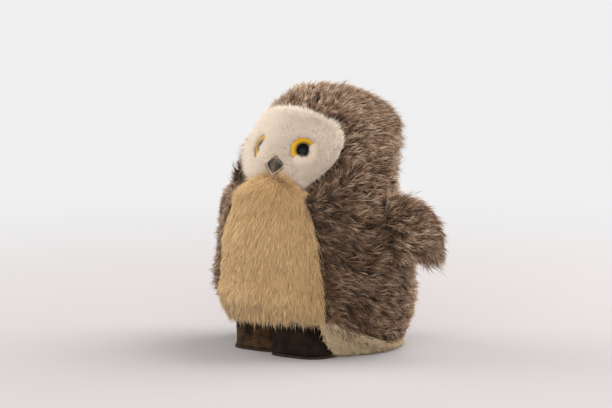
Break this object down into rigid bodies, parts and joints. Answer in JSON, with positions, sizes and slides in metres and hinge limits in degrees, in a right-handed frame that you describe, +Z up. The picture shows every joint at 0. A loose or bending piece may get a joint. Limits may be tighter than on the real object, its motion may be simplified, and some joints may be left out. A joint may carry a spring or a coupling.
{
  "type": "plush owl",
  "caption": "Small sitting plush owl with a fur hood, cream face, tan bib, safety eyes, folded beak, suede feet and flap wings that swing on their seams.",
  "frame": {"origin": "on the ground under the middle of the base panel", "axes": "+Z up, the owl faces -Y, +X is the owl's left"},
  "size_m": [0.161, 0.122, 0.158],
  "materials": {
    "brown_fur": "matte",
    "tan_fur": "matte",
    "cream_pile": "matte",
    "base_cloth": "matte",
    "suede": "matte",
    "sole_suede": "matte",
    "eye_yellow": "gloss",
    "eye_black": "gloss",
    "washer_plastic": "satin",
    "beak_felt": "matte",
    "beak_lining": "matte",
    "fibre": "matte",
    "card": "matte"
  },
  "bodies": {
    "owl": {"base_panel": "base_cloth", "bib_panel": "tan_fur", "face_panel": "cream_pile", "beak_felt": "beak_felt", "beak_lining": "beak_lining", "body_filling": "fibre", "head_filling": "fibre", "crown_gusset": "brown_fur", "side_panel_left": "brown_fur", "hood_side_left": "brown_fur", "eye_iris_left": "eye_yellow", "eye_pupil_left": "eye_black", "eye_washer_left": "washer_plastic", "foot_sole_left": "sole_suede", "foot_insert_left": "card", "foot_upper_left": "suede", "foot_filling_left": "fibre", "side_panel_right": "brown_fur", "hood_side_right": "brown_fur", "eye_iris_right": "eye_yellow", "eye_pupil_right": "eye_black", "eye_washer_right": "washer_plastic", "foot_sole_right": "sole_suede", "foot_insert_right": "card", "foot_upper_right": "suede", "foot_filling_right": "fibre"},
    "wing_left": {"wing_outer_skin_left": "brown_fur", "wing_inner_skin_left": "brown_fur", "wing_filling_left": "fibre"},
    "wing_right": {"wing_outer_skin_right": "brown_fur", "wing_inner_skin_right": "brown_fur", "wing_filling_right": "fibre"}
  },
  "joints": [
    {"name": "hinge_wing_left", "type": "hinge", "parent": "owl", "child": "wing_left", "pos_m": [0.05812, -0.01033, 0.07575], "axis": [0.2036, 0.0645, -0.9769], "range_deg": [0, 60], "stiffness_Nm_per_rad": 0.01},
    {"name": "hinge_wing_right", "type": "hinge", "parent": "owl", "child": "wing_right", "pos_m": [-0.05812, -0.01033, 0.07575], "axis": [0.2036, -0.0645, 0.9769], "range_deg": [0, 60], "stiffness_Nm_per_rad": 0.01}
  ]
}
